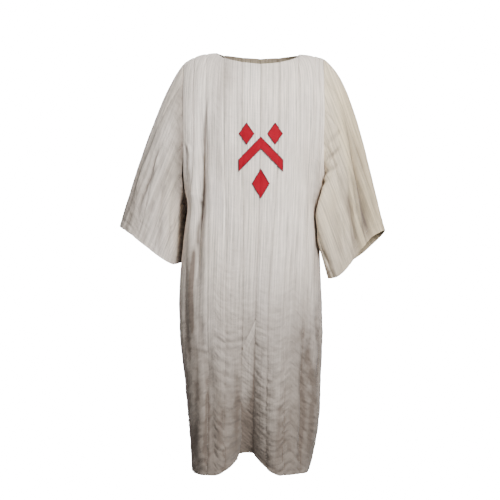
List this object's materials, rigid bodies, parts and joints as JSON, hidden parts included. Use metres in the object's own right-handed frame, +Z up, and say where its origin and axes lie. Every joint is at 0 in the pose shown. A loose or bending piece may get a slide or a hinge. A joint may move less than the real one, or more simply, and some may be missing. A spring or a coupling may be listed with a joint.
{
  "type": "medieval surcoat",
  "caption": "Long quilted linen surcoat with wide hanging sleeves, a boat neck, a gored centre front and a red applied device on the chest, hollow as if worn.",
  "frame": {"origin": "on the shoulder line, midway between the side ends of the neckline, where the wearer's shoulders hold the garment", "axes": "+Z up towards the neckline, the front faces -Y, the wearer's right is -X"},
  "size_m": [0.7953, 0.297, 1.2603],
  "materials": {
    "linen": "quilted undyed linen, worn, with grey-brown grime towards the hem",
    "scarlet": "red wool felt, matt, sewn on with a dark cord round its edge"
  },
  "bodies": {
    "root": {"front_right": "linen", "front_left": "linen", "front_gore": "linen", "back": "linen", "sleeve_right": "linen", "sleeve_left": "linen", "lozenge_right": "scarlet", "lozenge_left": "scarlet", "chevron": "scarlet", "lozenge_foot": "scarlet"}
  },
  "joints": []
}
